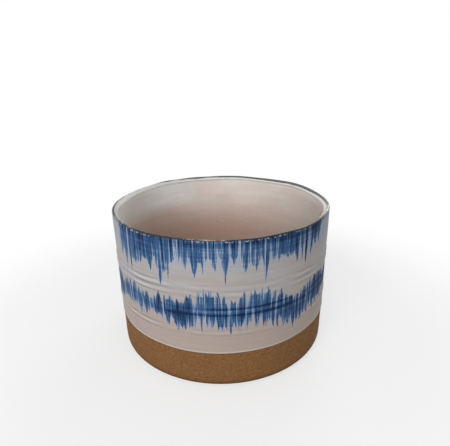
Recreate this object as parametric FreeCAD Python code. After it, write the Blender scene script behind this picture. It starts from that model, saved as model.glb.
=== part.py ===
import FreeCAD, Part
import math
import os

# Round stoneware cachepot: one thrown clay pot with its fired coats of glaze, on felt pads.
# Millimetres, +Z up. The origin is on the surface that the pads stand on, under the pot's centre.
# The side that faces -Y is the front, and turns are in degrees from there towards +X.

# Whole pot
rim_diameter = 178.0
base_diameter = 176.2
pot_height = 115.0

# Thrown clay
wall_thickness = 5.0
floor_thickness = 7.0
floor_corner_radius = 8.0
foot_edge_radius = 3.0
foot_ring_width = 18.0
foot_recess_depth = 2.0

# Raised rings left by the thrower's fingers: how many, and their middle as a share of the height
throwing_ring_rise = 0.45
throwing_ring_height = 4.2
throwing_ring_gap = 0.9
throwing_ring_groups_share = ((1, 0.402), (2, 0.684))

# Lip
crest_radius = 1.2
bevel_degrees = 45.0
rim_line_start_degrees = 50.0
rim_line_end_degrees = 118.0
rim_line_arc_count = 4

# Glaze coats
glaze_thickness = 0.4
glaze_line_height = 29.2

# Felt pads under the foot ring
pad_margin = 1.5
pad_thickness = 1.2
pad_edge_radius = 0.3
pad_names = ("front", "right", "back", "left")

# Cobalt brush strokes. Heights are shares of the pot's height.
cutter_overrun = 2.0
rim_stroke_shoulder_share = 0.9
middle_stroke_centre_share = 0.535
shoulder_share = 0.4
rim_stretch_turns = (0.0, 150.0)
middle_stretch_turns = (0.0, 120.0, 240.0)

# Rim band: turn and width in degrees, and how low the stroke's tip runs
rim_strokes_share = (
    (-55.0, 5.0, 0.80), (-50.5, 5.2, 0.70), (-46.5, 4.4, 0.71), (-41.0, 8.0, 0.81),
    (-33.5, 8.2, 0.78), (-28.0, 8.0, 0.69), (-24.0, 3.0, 0.70), (-18.0, 10.0, 0.82),
    (-12.0, 6.0, 0.76), (-8.0, 4.0, 0.80), (-3.5, 7.0, 0.83), (1.0, 5.0, 0.71),
    (5.0, 5.0, 0.85), (9.5, 6.0, 0.81), (14.5, 6.0, 0.79), (19.0, 5.4, 0.72),
    (23.0, 4.6, 0.80), (29.0, 9.0, 0.86), (35.5, 6.6, 0.79), (38.6, 3.0, 0.80),
    (41.2, 4.2, 0.73), (45.0, 5.0, 0.80), (50.0, 7.0, 0.87),
)

# Middle band: turn and width in degrees, and where the stroke's two tips end
middle_strokes_share = (
    (-57.0, 6.6, 0.60, 0.46), (-52.0, 6.4, 0.64, 0.48), (-47.0, 6.0, 0.66, 0.49),
    (-42.8, 5.2, 0.62, 0.43), (-38.2, 6.0, 0.62, 0.45), (-33.4, 5.4, 0.60, 0.48),
    (-29.4, 5.0, 0.65, 0.45), (-25.4, 5.6, 0.62, 0.42), (-20.4, 6.8, 0.60, 0.41),
    (-15.2, 6.4, 0.66, 0.42), (-10.0, 6.2, 0.70, 0.40), (-5.2, 5.6, 0.68, 0.42),
    (-1.0, 5.2, 0.67, 0.40), (3.4, 5.6, 0.64, 0.38), (8.2, 6.4, 0.68, 0.38),
    (13.2, 6.2, 0.69, 0.44), (17.6, 5.2, 0.69, 0.41), (21.4, 5.0, 0.68, 0.43),
    (26.0, 6.2, 0.67, 0.38), (30.6, 5.8, 0.61, 0.36), (35.2, 6.0, 0.58, 0.34),
    (39.4, 5.4, 0.60, 0.36), (43.6, 5.6, 0.62, 0.41), (48.4, 6.4, 0.63, 0.44),
    (53.2, 6.2, 0.63, 0.44), (58.2, 6.6, 0.62, 0.46),
)

# Places that follow from the sizes above
origin = FreeCAD.Vector()
up = FreeCAD.Vector(0, 0, 1)
foot_height = pad_thickness
clay_crest_radius = crest_radius - glaze_thickness
recess_corner_radius = foot_recess_depth / 2
pad_diameter = foot_ring_width - foot_edge_radius - 2 * pad_margin
bevel_turn = math.radians(bevel_degrees)
bevel_normal_degrees = 90.0 + bevel_degrees
bevel_length = (wall_thickness - 2 * crest_radius) / math.cos(bevel_turn)
crest_centre = FreeCAD.Vector(
    rim_diameter / 2 - crest_radius, 0, foot_height + pot_height - crest_radius)
corner_centre = crest_centre - FreeCAD.Vector(
    bevel_length * math.cos(bevel_turn), 0, bevel_length * math.sin(bevel_turn))


def place(radius, height):
    """A point of the profile, with its height counted from the foot's underside."""
    return FreeCAD.Vector(radius, 0, foot_height + height)


def around(centre, radius, degrees):
    """A point on a circle in the profile's plane, 0 degrees outwards and 90 up."""
    turn = math.radians(degrees)
    return centre + FreeCAD.Vector(radius * math.cos(turn), 0, radius * math.sin(turn))


def line(start, end):
    return Part.LineSegment(start, end).toShape()


def arc(centre, radius, first_degrees, last_degrees):
    middle_degrees = (first_degrees + last_degrees) / 2
    ends = [around(centre, radius, degrees)
            for degrees in (first_degrees, middle_degrees, last_degrees)]
    return Part.Arc(*ends).toShape()


def turned(edges):
    """The closed profile turned once about the pot's axis."""
    outline = Part.Wire(Part.__sortEdges__(edges))
    solid = Part.Face(outline).revolve(origin, up, 360)
    return Part.Solid(solid) if solid.ShapeType == "Shell" else solid


def wall_radius(height, coat):
    """Radius of the slightly flared wall, on the clay or on a coat over it."""
    straight_height = pot_height - crest_radius
    flare = rim_diameter / 2 - glaze_thickness - base_diameter / 2
    return base_diameter / 2 + flare * height / straight_height + coat


def inside_radius(height, coat):
    """Radius of the wall's inside, which follows the outside, on the clay or on the liner."""
    return wall_radius(height, glaze_thickness) - wall_thickness + glaze_thickness - coat


def throwing_ring_middles():
    """Heights of the rings' crowns, from the foot up."""
    pitch = throwing_ring_height + throwing_ring_gap
    return [share * pot_height + (number - (count - 1) / 2) * pitch
            for count, share in throwing_ring_groups_share
            for number in range(count)]


def wall_edges(start_height, coat):
    """The outside of the wall up to the lip, with the raised rings left by throwing."""
    edges = []
    here = place(wall_radius(start_height, coat), start_height)
    for middle in throwing_ring_middles():
        low = middle - throwing_ring_height / 2
        high = middle + throwing_ring_height / 2
        ring_start = place(wall_radius(low, coat), low)
        ring_crown = place(wall_radius(middle, coat) + throwing_ring_rise, middle)
        ring_end = place(wall_radius(high, coat), high)
        edges.append(line(here, ring_start))
        edges.append(Part.Arc(ring_start, ring_crown, ring_end).toShape())
        here = ring_end
    edges.append(line(here, around(crest_centre, clay_crest_radius + coat, 0)))
    return edges


def floor_edges(coat):
    """The inside from the lip's inner corner down the wall and along the floor to the axis."""
    corner_radius = clay_crest_radius + coat
    floor_height = floor_thickness - glaze_thickness + coat
    round_radius = floor_corner_radius + glaze_thickness - coat
    round_height = floor_height + round_radius
    round_centre = place(inside_radius(round_height, coat) - round_radius, round_height)
    wall_top = around(corner_centre, corner_radius, 180)
    wall_foot = around(round_centre, round_radius, 0)
    floor_edge = around(round_centre, round_radius, -90)
    return [
        arc(corner_centre, corner_radius, bevel_normal_degrees, 180),
        line(wall_top, wall_foot),
        arc(round_centre, round_radius, 0, -90),
        line(floor_edge, place(0, floor_height)),
    ]


def foot_edges():
    """The underside from the axis out over the recess and the foot ring to the wall."""
    edge_radius = wall_radius(foot_edge_radius, 0)
    ring_outside = edge_radius - foot_edge_radius
    ring_inside = edge_radius - foot_ring_width
    recess_edge = ring_inside - recess_corner_radius
    round_centre = place(ring_outside, foot_edge_radius)
    corner = place(recess_edge, foot_recess_depth - recess_corner_radius)
    return [
        line(place(0, foot_recess_depth), place(recess_edge, foot_recess_depth)),
        arc(corner, recess_corner_radius, 90, 0),
        line(around(corner, recess_corner_radius, 0), place(ring_inside, 0)),
        line(place(ring_inside, 0), place(ring_outside, 0)),
        arc(round_centre, foot_edge_radius, -90, 0),
    ]


def make_clay_body():
    edges = foot_edges() + wall_edges(foot_edge_radius, 0)
    edges.append(arc(crest_centre, clay_crest_radius, 0, bevel_normal_degrees))
    edges.append(line(around(crest_centre, clay_crest_radius, bevel_normal_degrees),
                      around(corner_centre, clay_crest_radius, bevel_normal_degrees)))
    edges += floor_edges(0)
    edges.append(line(place(0, floor_thickness - glaze_thickness), place(0, foot_recess_depth)))
    return turned(edges)


def make_wall_coat():
    """The whole outer coat, rolled under at its lower edge, before the strokes divide it."""
    clay_edges = wall_edges(glaze_line_height, 0)
    coat_edges = wall_edges(glaze_line_height + glaze_thickness, glaze_thickness)
    clay_start = place(wall_radius(glaze_line_height, 0), glaze_line_height)
    coat_start = place(wall_radius(glaze_line_height + glaze_thickness, glaze_thickness),
                       glaze_line_height + glaze_thickness)
    roll_centre = FreeCAD.Vector(clay_start.x, 0, coat_start.z)
    roll_middle = around(roll_centre, glaze_thickness, -45)
    rim_edges = [
        arc(crest_centre, clay_crest_radius, 0, rim_line_start_degrees),
        line(around(crest_centre, clay_crest_radius, rim_line_start_degrees),
             around(crest_centre, crest_radius, rim_line_start_degrees)),
        arc(crest_centre, crest_radius, 0, rim_line_start_degrees),
    ]
    roll = Part.Arc(clay_start, roll_middle, coat_start).toShape()
    return turned(clay_edges + coat_edges + rim_edges + [roll])


def make_rim_line():
    """The dark line that runs round the crest of the lip."""
    arc_degrees = (rim_line_end_degrees - rim_line_start_degrees) / rim_line_arc_count
    ends = [rim_line_start_degrees + number * arc_degrees
            for number in range(rim_line_arc_count + 1)]
    edges = [arc(crest_centre, radius, first, last)
             for radius in (clay_crest_radius, crest_radius)
             for first, last in zip(ends, ends[1:])]
    edges += [line(around(crest_centre, clay_crest_radius, degrees),
                   around(crest_centre, crest_radius, degrees))
              for degrees in (ends[0], ends[-1])]
    return turned(edges)


def make_lip_glaze():
    """The coat on the bevel between the crest line and the liner."""
    edges = []
    for radius in (clay_crest_radius, crest_radius):
        edges.append(arc(crest_centre, radius, rim_line_end_degrees, bevel_normal_degrees))
        edges.append(line(around(crest_centre, radius, bevel_normal_degrees),
                          around(corner_centre, radius, bevel_normal_degrees)))
    for centre, degrees in ((crest_centre, rim_line_end_degrees),
                            (corner_centre, bevel_normal_degrees)):
        edges.append(line(around(centre, clay_crest_radius, degrees),
                          around(centre, crest_radius, degrees)))
    return turned(edges)


def make_liner_glaze():
    """The coat over the inside wall and the floor."""
    edges = floor_edges(0) + floor_edges(glaze_thickness)
    edges.append(line(around(corner_centre, clay_crest_radius, bevel_normal_degrees),
                      around(corner_centre, crest_radius, bevel_normal_degrees)))
    edges.append(line(place(0, floor_thickness - glaze_thickness), place(0, floor_thickness)))
    return turned(edges)


def stroke_block(turn_degrees, outline):
    """One brush stroke's outline, (across, height) pairs, cut square through the outer coat."""
    nearest = min(rim_diameter, base_diameter) / 4
    furthest = max(rim_diameter, base_diameter) / 2 + throwing_ring_rise + cutter_overrun
    corners = [FreeCAD.Vector(across, -nearest, foot_height + height)
               for across, height in outline]
    face = Part.Face(Part.makePolygon(corners + corners[:1]))
    block = face.extrude(FreeCAD.Vector(0, nearest - furthest, 0))
    block.rotate(origin, up, turn_degrees)
    return block


def stroke_half_width(width_degrees):
    return rim_diameter / 2 * math.tan(math.radians(width_degrees / 2))


def rim_stroke(turn_degrees, width_degrees, tip_share):
    """A stroke that hangs from the rim and runs down to a point."""
    half = stroke_half_width(width_degrees)
    top = pot_height + cutter_overrun
    shoulder = rim_stroke_shoulder_share * pot_height
    outline = [(-half, top), (half, top), (half, shoulder), (0, tip_share * pot_height),
               (-half, shoulder)]
    return stroke_block(turn_degrees, outline)


def middle_stroke(turn_degrees, width_degrees, top_share, bottom_share):
    """A stroke that runs to a point above and below the band's centre."""
    half = stroke_half_width(width_degrees)
    centre = middle_stroke_centre_share * pot_height
    top = top_share * pot_height
    bottom = bottom_share * pot_height
    upper = centre + shoulder_share * (top - centre)
    lower = centre + shoulder_share * (bottom - centre)
    outline = [(0, top), (half, upper), (half, lower), (0, bottom), (-half, lower),
               (-half, upper)]
    return stroke_block(turn_degrees, outline)


def joined(blocks):
    return blocks[0].multiFuse(blocks[1:])


def make_rim_band_cutter():
    return joined([rim_stroke(stretch + turn, width, tip)
                   for stretch in rim_stretch_turns
                   for turn, width, tip in rim_strokes_share])


def make_middle_band_cutter():
    return joined([middle_stroke(stretch + turn, width, top, bottom)
                   for stretch in middle_stretch_turns
                   for turn, width, top, bottom in middle_strokes_share])


def make_felt_pad(turn_degrees):
    """A round pad stuck to the flat of the foot ring, centred on it."""
    ring_outside = wall_radius(foot_edge_radius, 0) - foot_edge_radius
    ring_inside = wall_radius(foot_edge_radius, 0) - foot_ring_width
    pad_centre = FreeCAD.Vector(0, -(ring_outside + ring_inside) / 2, 0)
    pad = Part.makeCylinder(pad_diameter / 2, pad_thickness, pad_centre, up)
    lower_edges = [edge for edge in pad.Edges
                   if edge.BoundBox.ZMax < pad_thickness / 2]
    pad = pad.makeFillet(min(pad_edge_radius, pad_thickness / 2), lower_edges)
    pad.rotate(origin, up, turn_degrees)
    return pad


def make_parts():
    """Every node of the pot by name."""
    wall_coat = make_wall_coat()
    rim_cutter = make_rim_band_cutter()
    middle_cutter = make_middle_band_cutter()
    nodes = {
        "clay_body": make_clay_body(),
        "outer_glaze": wall_coat.cut([rim_cutter, middle_cutter]),
        "cobalt_rim_band": wall_coat.common(rim_cutter),
        "cobalt_middle_band": wall_coat.common(middle_cutter).cut(rim_cutter),
        "rim_line": make_rim_line(),
        "lip_glaze": make_lip_glaze(),
        "liner_glaze": make_liner_glaze(),
    }
    quarter_turn = 360 / len(pad_names)
    for number, name in enumerate(pad_names):
        nodes["felt_pad_" + name] = make_felt_pad(number * quarter_turn)
    return nodes


os.makedirs("parts", exist_ok=True)
for node, shape in make_parts().items():
    shape.exportStep("parts/" + node + ".step")
    box = shape.BoundBox
    print(node, shape.isValid(), len(shape.Solids), "volume", round(shape.Volume, 1),
          "x", round(box.XMin, 2), round(box.XMax, 2), "z", round(box.ZMin, 2), round(box.ZMax, 2))
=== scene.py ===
import bpy
import functools
import math
import random
from mathutils import Matrix, Vector


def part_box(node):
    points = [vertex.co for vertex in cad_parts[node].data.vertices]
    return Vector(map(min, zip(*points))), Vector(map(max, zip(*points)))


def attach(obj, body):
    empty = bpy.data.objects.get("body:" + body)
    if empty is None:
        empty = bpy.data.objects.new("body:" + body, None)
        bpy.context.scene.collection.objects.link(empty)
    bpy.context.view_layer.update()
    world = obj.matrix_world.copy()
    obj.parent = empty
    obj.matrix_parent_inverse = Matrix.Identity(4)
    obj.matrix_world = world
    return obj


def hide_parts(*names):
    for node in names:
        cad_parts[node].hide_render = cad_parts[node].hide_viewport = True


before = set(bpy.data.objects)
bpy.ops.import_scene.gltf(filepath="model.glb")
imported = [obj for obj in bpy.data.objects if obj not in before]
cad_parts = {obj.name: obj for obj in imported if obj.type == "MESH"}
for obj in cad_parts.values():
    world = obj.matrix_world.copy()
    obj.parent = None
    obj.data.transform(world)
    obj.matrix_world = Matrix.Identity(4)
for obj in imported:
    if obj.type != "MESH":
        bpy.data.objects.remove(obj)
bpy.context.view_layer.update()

bl_info = {
    "name": "Stoneware cachepot",
    "version": (1, 0, 0),
    "blender": (4, 5, 0),
    "location": "3D View > Sidebar > Cachepot",
    "description": "A thrown stoneware cachepot with brushed cobalt bands, piece by piece",
    "category": "Add Mesh",
}

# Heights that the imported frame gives. All lengths are in metres.
FOOT_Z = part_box("clay_body")[0][2]
CREST_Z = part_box("rim_line")[1][2]
GLAZE_LINE_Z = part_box("outer_glaze")[0][2]
FLOOR_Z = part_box("liner_glaze")[0][2]
PAD_NODES = sorted(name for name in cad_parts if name.startswith("felt_pad_"))

# Brush strokes, read off the pot's front: a turn in degrees, 0 at the front and positive
# to the right, and a share of the pot's height. The middle band is used to 60 degrees each way.
RIM_BAND_EDGE = (
    (-58.5, 0.985), (-57.2, 0.82), (-54.9, 0.79), (-53.0, 0.84), (-51.6, 0.80), (-50.9, 0.68),
    (-49.9, 0.78), (-48.4, 0.84), (-47.4, 0.80), (-46.7, 0.70), (-46.1, 0.80), (-44.5, 0.81),
    (-43.4, 0.79), (-42.3, 0.805), (-40.6, 0.80), (-39.2, 0.81), (-37.9, 0.86), (-36.6, 0.83),
    (-35.5, 0.84), (-34.4, 0.81), (-33.4, 0.772), (-32.4, 0.83), (-31.2, 0.87), (-30.2, 0.83),
    (-28.4, 0.686), (-27.2, 0.77), (-25.4, 0.79), (-24.8, 0.80), (-24.3, 0.70), (-23.8, 0.82),
    (-22.9, 0.84), (-21.2, 0.86), (-20.0, 0.905), (-19.3, 0.88), (-18.7, 0.84), (-18.1, 0.90),
    (-17.2, 0.84), (-16.0, 0.812), (-14.2, 0.895), (-13.2, 0.84), (-11.9, 0.757), (-10.9, 0.84),
    (-9.6, 0.88), (-8.9, 0.86), (-8.2, 0.79), (-7.6, 0.90), (-6.6, 0.87), (-5.6, 0.915),
    (-4.6, 0.88), (-3.3, 0.812), (-2.2, 0.88), (-1.5, 0.91), (-0.4, 0.885), (0.3, 0.84),
    (1.2, 0.722), (2.2, 0.84), (3.4, 0.91), (4.3, 0.885), (4.8, 0.865), (5.2, 0.843),
    (5.8, 0.89), (7.2, 0.925), (8.6, 0.87), (9.2, 0.81), (10.2, 0.803), (11.0, 0.85),
    (12.0, 0.88), (13.0, 0.835), (13.8, 0.85), (14.9, 0.79), (15.8, 0.85), (17.2, 0.89),
    (18.0, 0.84), (19.0, 0.708), (20.2, 0.83), (21.4, 0.885), (22.4, 0.86), (22.9, 0.796),
    (23.5, 0.87), (24.6, 0.885), (25.6, 0.838), (26.6, 0.875), (28.2, 0.865), (29.4, 0.86),
    (30.3, 0.845), (31.2, 0.862), (32.4, 0.855), (33.6, 0.865), (34.6, 0.85), (35.6, 0.788),
    (36.8, 0.875), (38.0, 0.86), (38.7, 0.80), (39.4, 0.88), (40.2, 0.90), (41.1, 0.733),
    (42.0, 0.85), (43.0, 0.91), (44.0, 0.86), (44.8, 0.797), (45.8, 0.85), (46.6, 0.90),
    (47.6, 0.87), (48.4, 0.855), (49.6, 0.895), (50.8, 0.89), (52.0, 0.855), (52.8, 0.90),
    (54.2, 0.985),
)
MIDDLE_BAND_TOP = (
    (-60.5, 0.58), (-58.5, 0.585), (-57.0, 0.60), (-56.0, 0.615),
    (-54.9, 0.635), (-54.0, 0.60), (-52.9, 0.645), (-51.6, 0.61), (-50.0, 0.657), (-49.0, 0.62),
    (-48.1, 0.60), (-47.0, 0.64), (-45.6, 0.655), (-44.6, 0.62), (-43.8, 0.585), (-42.9, 0.635),
    (-42.0, 0.60), (-41.0, 0.59), (-40.1, 0.62), (-39.0, 0.585), (-37.2, 0.625), (-36.4, 0.59),
    (-35.2, 0.58), (-34.0, 0.585), (-32.9, 0.605), (-31.8, 0.58), (-30.9, 0.642), (-30.0, 0.635),
    (-29.1, 0.59), (-28.2, 0.56), (-27.2, 0.64), (-26.2, 0.60), (-25.2, 0.61), (-23.8, 0.648),
    (-22.8, 0.60), (-21.8, 0.585), (-20.8, 0.63), (-19.9, 0.585), (-18.9, 0.60), (-17.6, 0.595),
    (-16.4, 0.64), (-15.3, 0.63), (-14.3, 0.665), (-13.2, 0.61), (-12.4, 0.59), (-11.4, 0.66),
    (-10.5, 0.69), (-9.6, 0.66), (-8.6, 0.712), (-7.6, 0.675), (-6.6, 0.66), (-5.5, 0.708),
    (-4.6, 0.665), (-3.4, 0.64), (-2.2, 0.70), (-1.4, 0.65), (-0.4, 0.635), (0.6, 0.66),
    (1.4, 0.60), (2.4, 0.58), (3.4, 0.64), (4.4, 0.61), (5.4, 0.625), (6.6, 0.60),
    (7.6, 0.64), (8.6, 0.655), (9.5, 0.69), (10.3, 0.63), (11.2, 0.62), (12.4, 0.675),
    (13.3, 0.65), (14.2, 0.69), (15.4, 0.65), (16.2, 0.66), (17.3, 0.69), (18.2, 0.645),
    (19.4, 0.65), (20.5, 0.687), (21.6, 0.66), (22.4, 0.60), (23.5, 0.655), (24.4, 0.65),
    (25.4, 0.59), (26.2, 0.63), (27.2, 0.663), (28.2, 0.62), (28.8, 0.58), (30.2, 0.61),
    (31.4, 0.575), (33.2, 0.585), (34.4, 0.56), (36.0, 0.565), (37.4, 0.575), (38.6, 0.55),
    (39.6, 0.60), (40.6, 0.59), (41.6, 0.62), (42.8, 0.59), (44.4, 0.63), (45.4, 0.61),
    (46.7, 0.645), (47.8, 0.60), (49.2, 0.63), (50.8, 0.645), (52.2, 0.62), (53.6, 0.64),
    (55.0, 0.642), (57.0, 0.63), (59.0, 0.63), (61.0, 0.635),
)
MIDDLE_BAND_BOTTOM = (
    (-60.0, 0.48), (-58.8, 0.475), (-57.0, 0.49), (-55.0, 0.485),
    (-53.6, 0.50), (-52.3, 0.485), (-51.0, 0.47), (-50.2, 0.49), (-49.4, 0.48), (-48.5, 0.455),
    (-47.5, 0.50), (-46.0, 0.49), (-45.0, 0.475), (-44.0, 0.49), (-42.3, 0.42), (-41.4, 0.49),
    (-40.2, 0.50), (-38.6, 0.437), (-37.4, 0.49), (-36.2, 0.48), (-35.0, 0.505), (-33.9, 0.47),
    (-32.8, 0.49), (-31.8, 0.465), (-30.6, 0.50), (-29.6, 0.47), (-28.9, 0.435), (-28.2, 0.50),
    (-27.0, 0.48), (-26.2, 0.43), (-25.4, 0.42), (-24.8, 0.46), (-23.6, 0.50), (-22.6, 0.44),
    (-21.6, 0.43), (-20.7, 0.40), (-19.9, 0.44), (-18.8, 0.42), (-18.0, 0.44), (-17.2, 0.395),
    (-16.4, 0.45), (-15.4, 0.44), (-14.4, 0.41), (-13.6, 0.45), (-12.8, 0.41), (-12.0, 0.48),
    (-11.0, 0.50), (-10.3, 0.46), (-9.5, 0.40), (-8.7, 0.50), (-7.8, 0.50), (-7.0, 0.42),
    (-6.2, 0.49), (-5.4, 0.45), (-4.9, 0.42), (-4.2, 0.46), (-3.2, 0.50), (-2.1, 0.42),
    (-1.2, 0.45), (-0.5, 0.40), (0.2, 0.46), (1.4, 0.43), (2.4, 0.47), (3.2, 0.38),
    (4.0, 0.44), (4.8, 0.48), (5.5, 0.42), (6.4, 0.46), (7.3, 0.385), (8.2, 0.46),
    (9.6, 0.48), (10.6, 0.395), (11.5, 0.47), (12.6, 0.46), (13.8, 0.51), (15.2, 0.40),
    (16.2, 0.47), (17.3, 0.50), (18.4, 0.42), (19.2, 0.45), (19.8, 0.41), (20.8, 0.46),
    (21.6, 0.46), (22.6, 0.44), (23.4, 0.395), (24.2, 0.46), (25.5, 0.38), (26.6, 0.44),
    (27.6, 0.46), (28.9, 0.36), (30.0, 0.42), (30.8, 0.40), (31.8, 0.37), (32.6, 0.41),
    (33.6, 0.41), (34.6, 0.37), (35.3, 0.335), (36.2, 0.40), (37.2, 0.38), (38.2, 0.41),
    (39.5, 0.36), (40.4, 0.42), (41.5, 0.40), (42.6, 0.42), (44.5, 0.39), (45.4, 0.44),
    (46.4, 0.43), (47.6, 0.46), (48.4, 0.44), (49.5, 0.385), (50.4, 0.45), (51.6, 0.46),
    (53.0, 0.41), (54.2, 0.46), (55.6, 0.44), (57.0, 0.45), (58.6, 0.42), (60.0, 0.46),
)

# Pale gaps between strokes: a turn and a half width in degrees, and how much ink is missing
RIM_BAND_GAPS = (
    (-48.3, 0.45, 0.85), (-45.0, 0.3, 0.3), (-41.9, 0.4, 0.35), (-37.9, 0.5, 0.3),
    (-19.0, 0.35, 0.6), (-13.9, 0.3, 0.4), (-9.9, 0.3, 0.35), (-7.4, 0.3, 0.55),
    (-5.8, 0.45, 0.65), (-4.6, 0.25, 0.4), (-1.4, 0.5, 0.6), (0.2, 0.4, 0.3), (3.3, 0.4, 0.6),
    (7.6, 0.4, 0.6), (12.0, 0.35, 0.8), (16.6, 0.3, 0.4), (23.6, 0.25, 0.35),
    (24.8, 0.35, 0.5), (29.4, 0.3, 0.25), (34.0, 0.25, 0.3), (37.2, 0.3, 0.5),
    (39.9, 0.4, 0.85), (43.4, 0.4, 0.85), (46.8, 0.3, 0.4),
)
MIDDLE_BAND_GAPS = (
    (-57.6, 0.5, 0.3), (-48.4, 0.4, 0.35), (-44.2, 0.4, 0.5), (-39.4, 0.3, 0.35),
    (-35.9, 0.3, 0.3), (-33.6, 0.3, 0.3), (-28.2, 0.45, 0.8), (-23.9, 0.3, 0.45),
    (-19.8, 0.25, 0.3), (-12.5, 0.35, 0.55), (-10.9, 0.25, 0.3), (-7.9, 0.3, 0.35),
    (-3.1, 0.35, 0.45), (-0.6, 0.25, 0.3), (2.3, 0.4, 0.7), (5.9, 0.25, 0.35),
    (10.1, 0.35, 0.85), (14.0, 0.3, 0.4), (17.1, 0.3, 0.5), (22.1, 0.3, 0.55),
    (24.6, 0.3, 0.5), (29.0, 0.3, 0.5), (33.8, 0.3, 0.35), (38.5, 0.35, 0.75),
    (43.3, 0.35, 0.6), (47.6, 0.4, 0.7), (52.4, 0.3, 0.35),
)

# How full the brush was, slowly varying round the pot: a turn in degrees and a share
RIM_BAND_FULLNESS = (
    (-180, 0.9), (-164, 0.8), (-156, 0.5), (-150, 0.3), (-58, 0.34), (-55, 0.62), (-50, 0.76),
    (-44, 0.86), (-37, 0.9), (-32, 1.02), (-26, 0.9), (-18, 0.94), (-8, 0.86), (0, 0.84),
    (10, 0.88), (20, 0.94), (30, 1.04), (40, 1.12), (49, 1.35), (52, 1.15), (54, 0.5),
    (90, 0.35), (95, 0.7), (110, 0.9), (150, 0.95), (180, 0.9),
)
MIDDLE_BAND_FULLNESS = (
    (-180, 1.0), (-150, 0.9), (-115, 1.05), (-90, 0.9), (-66, 0.95), (-58, 1.05), (-50, 0.86),
    (-40, 0.88), (-30, 0.88), (-24, 1.0), (-18, 0.96), (-11, 0.86), (-8, 0.72), (0, 0.84),
    (10, 0.82), (20, 0.8), (27, 0.9), (34, 1.0), (45, 1.08), (56, 1.35), (66, 1.4),
    (85, 0.95), (120, 1.0), (150, 0.85), (180, 1.0),
)

# Ink drawn sideways along two throwing grooves: a turn in degrees and a strength
LOW_GROOVE_INK = (
    (-180, 0.8), (-150, 0.4), (-110, 0.9), (-80, 0.3), (-60, 0.1), (-27, 0.15), (-23, 1.0),
    (-6, 0.9), (30, 1.0), (40, 0.5), (60, 0.3), (90, 0.2), (115, 0.9), (150, 0.5), (180, 0.8),
)
HIGH_GROOVE_INK = (
    (-180, 0.3), (-140, 0.8), (-110, 0.3), (-60, 0.1), (-12, 0.1), (-4, 0.7), (0, 1.0),
    (28, 0.9), (38, 0.3), (60, 0.9), (72, 0.8), (95, 0.2), (130, 0.8), (160, 0.2), (180, 0.3),
)

# The height share and half width of those two grooves, and the attribute with their strength
GROOVE_INK_LINES = ((0.524, 0.015, "low_groove"), (0.566, 0.011, "high_groove"))

# Painted shade in the grooves beside the throwing rings, and a painted highlight on the rings
# at half that strength: a turn in degrees and a strength. This and the three tables of painted
# shade and light below were set against the photograph.
RING_GROOVE_SHADE = (
    (-180, 0.3), (-120, 0.4), (-90, 0.65), (-60, 0.92), (-46, 0.66), (-30, 0.24), (0, 0.1),
    (30, 0.11), (46, 0.32), (60, 0.5), (90, 0.5), (180, 0.3),
)

# How far the crest's dark line runs down the bevel: a turn in degrees and a share of its width
BEVEL_INK = (
    (-180, 0.34), (-172, 0.16), (-164, 0.4), (-157, 0.24), (-150, 0.0), (-142, 0.14),
    (-134, -0.1), (-110, -0.1), (-90, 0.0), (-60, 0.0), (60, 0.0), (75, 0.02), (88, 0.3),
    (108, 0.46), (135, 0.54), (150, 0.48), (162, 0.36), (172, 0.36), (180, 0.34),
)

# Painted shade on the inside wall, where it looks duller: a turn in degrees and a share
LINER_PAINTED_SHADE = ((-180, 0.0), (20, 0.0), (60, 0.55), (100, 0.75), (135, 0.35), (165, 0.0), (180, 0.0))

# Painted light on the inside wall below the lip, cooler and paler: a turn in degrees and a share
LINER_PAINTED_LIGHT = (
    (-180, 0.0), (-165, 0.1), (-150, 0.75), (-135, 1.0), (-120, 0.9), (-105, 0.6), (-80, 0.4),
    (-50, 0.1), (-40, 0.0), (180, 0.0),
)

# Painted shade on the bevel, greyer than its own white: a turn in degrees and a share
LIP_SHADE = (
    (-180, 0.1), (-160, 0.14), (-140, 0.2), (-120, 0.26), (-105, 0.34), (-90, 0.42),
    (-75, 0.4), (-50, 0.2), (0, 0.1), (60, 0.0), (110, 0.0), (150, 0.05), (180, 0.1),
)

# The dark line on the crest: a turn in degrees and how strongly it shows
CREST_INK = (
    (-180, 1.0), (-170, 0.8), (-161, 1.0), (-154, 0.55), (-148, 0.4), (-141, 0.72),
    (-132, 0.25), (-110, 0.2), (-90, 0.66), (-70, 0.6), (-60, 0.5), (-46, 0.58), (-38, 0.64),
    (-26, 0.86), (-18, 0.7), (-12, 0.5), (-2, 0.52), (5, 0.72), (20, 0.76), (32, 0.9),
    (42, 0.72), (50, 1.0), (56, 0.7), (61, 0.4), (75, 0.4), (86, 0.7), (100, 0.95),
    (130, 1.0), (165, 1.0), (180, 1.0),
)

# How far the hand-thrown lip rises above a level one: a turn in degrees and a length in metres
LIP_RISE = (
    (-180, 0.0003), (-172, 0.0001), (-162, 0.0005), (-150, 0.0001), (-140, 0.0005),
    (-128, -0.0001), (-112, 0.0003), (-100, -0.0001), (-90, 0.0004), (-80, 0.0009),
    (-66, 0.0004), (-50, 0.0003), (-38, 0.0005), (-28, 0.0009), (-14, 0.001), (4, 0.0009),
    (16, 0.0008), (25, 0.0011), (33, 0.0011), (42, 0.0005), (50, 0.001), (60, 0.0012),
    (72, 0.0009), (84, 0.0005), (96, 0.0), (108, 0.0002), (118, 0.0007), (127, 0.0007),
    (135, 0.0001), (143, -0.0003), (152, -0.0002), (164, 0.0001), (180, 0.0003),
)

# The share of the height where that begins, and how far each way it is smoothed, in degrees
LIP_RISE_FROM = 0.82
LIP_RISE_BLUR = 2.5


def linear(*rgb):
    """A colour read as 0 to 255 on a screen, as the linear colour that a shader takes."""
    shares = [value / 255 for value in rgb]
    return tuple(s / 12.92 if s <= 0.04045 else ((s + 0.055) / 1.055) ** 2.4 for s in shares)


def number_property(name, description, default, **more):
    return bpy.props.FloatProperty(name=name, description=description, default=default, **more)


def length_property(name, description, default):
    return number_property(name, description, default, unit="LENGTH", precision=5)


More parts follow.
